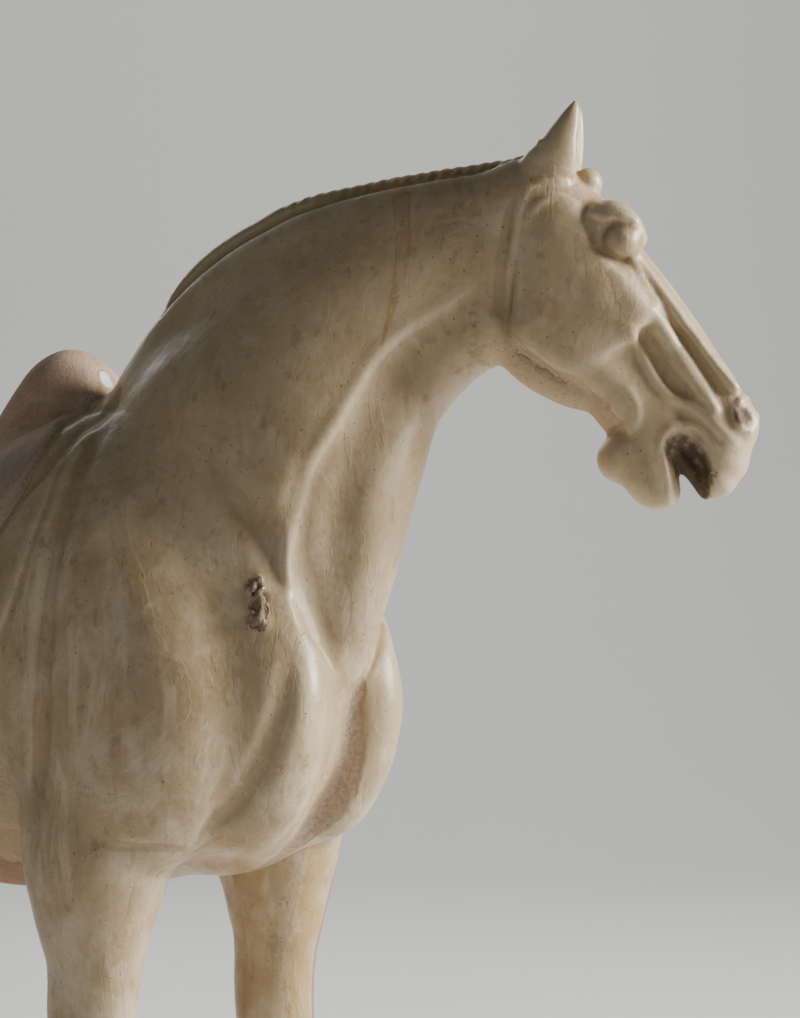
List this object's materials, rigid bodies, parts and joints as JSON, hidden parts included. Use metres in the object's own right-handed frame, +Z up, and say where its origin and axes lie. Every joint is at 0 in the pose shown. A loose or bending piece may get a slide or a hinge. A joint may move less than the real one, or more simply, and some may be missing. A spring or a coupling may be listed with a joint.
{
  "type": "glazed pottery horse figure",
  "caption": "Saddled standing horse of glazed pottery with turned head, open mouth and clipped mane, on a low flat slab.",
  "frame": {"origin": "middle of the flat underside of the slab", "axes": "+X the way the horse's body faces, +Y its left, +Z up"},
  "size_m": [0.7788, 0.2586, 0.7026],
  "materials": {
    "straw_glaze": "glossy straw-coloured glaze over buff clay"
  },
  "bodies": {
    "root": {"horse": "straw_glaze"}
  },
  "joints": []
}
